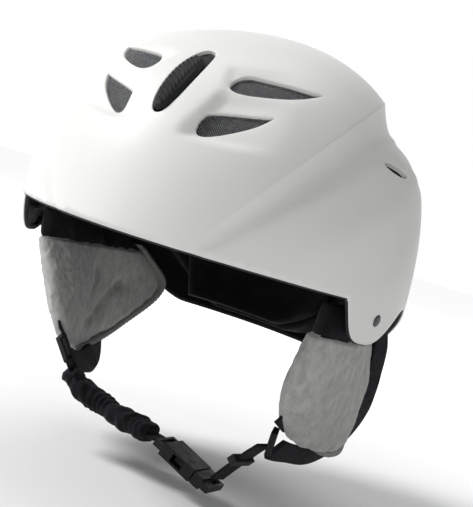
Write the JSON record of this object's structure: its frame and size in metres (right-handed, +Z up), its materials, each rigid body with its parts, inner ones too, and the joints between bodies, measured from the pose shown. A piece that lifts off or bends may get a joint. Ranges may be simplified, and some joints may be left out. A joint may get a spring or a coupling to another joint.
{
  "type": "ski helmet",
  "caption": "Hard-shell snow helmet with vent slider, plush ear pads, padded lining, chin strap with side-release buckle and rear goggle strap retainer.",
  "frame": {"origin": "middle of the shell, level with the brim, on the centre plane", "axes": "+X to the wearer's left, +Y to the back of the head, +Z up as worn"},
  "size_m": [0.229, 0.2796, 0.2608],
  "materials": {
    "shell": "satin",
    "trim": "matte",
    "foam": "fine beaded",
    "mesh": "matte",
    "grip": "soft touch",
    "black_plastic": "satin",
    "lining": "brushed",
    "plush": "long soft pile",
    "knit": "ribbed knit",
    "webbing": "woven",
    "metal": "satin"
  },
  "bodies": {
    "helmet": {"outer_shell": "shell", "shell_edge_trim": "trim", "strap_keeper": "trim", "eps_liner": "foam", "vent_mesh_left_lower": "mesh", "vent_mesh_right_lower": "mesh", "vent_mesh_left_upper": "mesh", "vent_mesh_right_upper": "mesh", "rear_anchor_left": "black_plastic", "rear_anchor_right": "black_plastic", "buckle_socket": "black_plastic", "goggle_loop_base": "black_plastic", "goggle_snap": "black_plastic", "brow_pad": "lining", "neck_pad": "lining", "side_pad_left": "lining", "side_pad_right": "lining", "crown_pad": "lining", "chin_sleeve": "lining", "chin_strap_left": "webbing", "chin_strap_right": "webbing", "strap_rivet_left": "metal", "strap_rivet_right": "metal"},
    "vent_control": {"vent_slider": "grip", "vent_shutter": "black_plastic"},
    "ear_pad_left": {"ear_cushion_left": "plush", "ear_outer_layer_left": "plush", "ear_knit_edge_left": "knit", "front_strap_left": "webbing", "rear_strap_left": "webbing", "strap_divider_left": "black_plastic", "ear_snap_front_left": "black_plastic", "ear_snap_rear_left": "black_plastic"},
    "ear_pad_right": {"ear_cushion_right": "plush", "ear_outer_layer_right": "plush", "ear_knit_edge_right": "knit", "front_strap_right": "webbing", "rear_strap_right": "webbing", "strap_divider_right": "black_plastic", "ear_snap_front_right": "black_plastic", "ear_snap_rear_right": "black_plastic"},
    "buckle_plug": {"buckle_plug": "black_plastic"},
    "buckle_prong_front": {"buckle_prong_front": "black_plastic"},
    "buckle_prong_rear": {"buckle_prong_rear": "black_plastic"},
    "goggle_loop": {"goggle_loop": "trim"}
  },
  "joints": [
    {"name": "vent_slide", "type": "hinge", "parent": "helmet", "child": "vent_control", "pos_m": [0, -0.017, 0.01], "axis": [-1, 0, 0], "range_deg": [0, 5]},
    {"name": "ear_pad_left_swing", "type": "hinge", "parent": "helmet", "child": "ear_pad_left", "pos_m": [0.096, 0.018, -0.02], "axis": [0, -1, 0], "range_deg": [0, 12]},
    {"name": "ear_pad_right_swing", "type": "hinge", "parent": "helmet", "child": "ear_pad_right", "pos_m": [-0.096, 0.018, -0.02], "axis": [0, 1, 0], "range_deg": [0, 20]},
    {"name": "buckle_release", "type": "slide", "parent": "helmet", "child": "buckle_plug", "axis": [0.9457, -0.0788, -0.3152], "range_m": [0, 0.024]},
    {"name": "buckle_squeeze_front", "type": "hinge", "parent": "buckle_plug", "child": "buckle_prong_front", "pos_m": [0.04039, -0.02689, -0.12163], "axis": [0.3142, -0.0262, 0.949], "range_deg": [0, 6], "stiffness_Nm_per_rad": 0.02},
    {"name": "buckle_squeeze_rear", "type": "hinge", "parent": "buckle_plug", "child": "buckle_prong_rear", "pos_m": [0.04138, -0.01493, -0.12163], "axis": [0.3142, -0.0262, 0.949], "range_deg": [-6, 0]},
    {"name": "goggle_loop_open", "type": "hinge", "parent": "helmet", "child": "goggle_loop", "pos_m": [0, 0.142, -0.0307], "axis": [-1, 0, 0], "range_deg": [0, 80]}
  ],
  "couplings": [
    {"joint": "buckle_squeeze_rear", "follows": "buckle_squeeze_front", "ratio": -1}
  ]
}
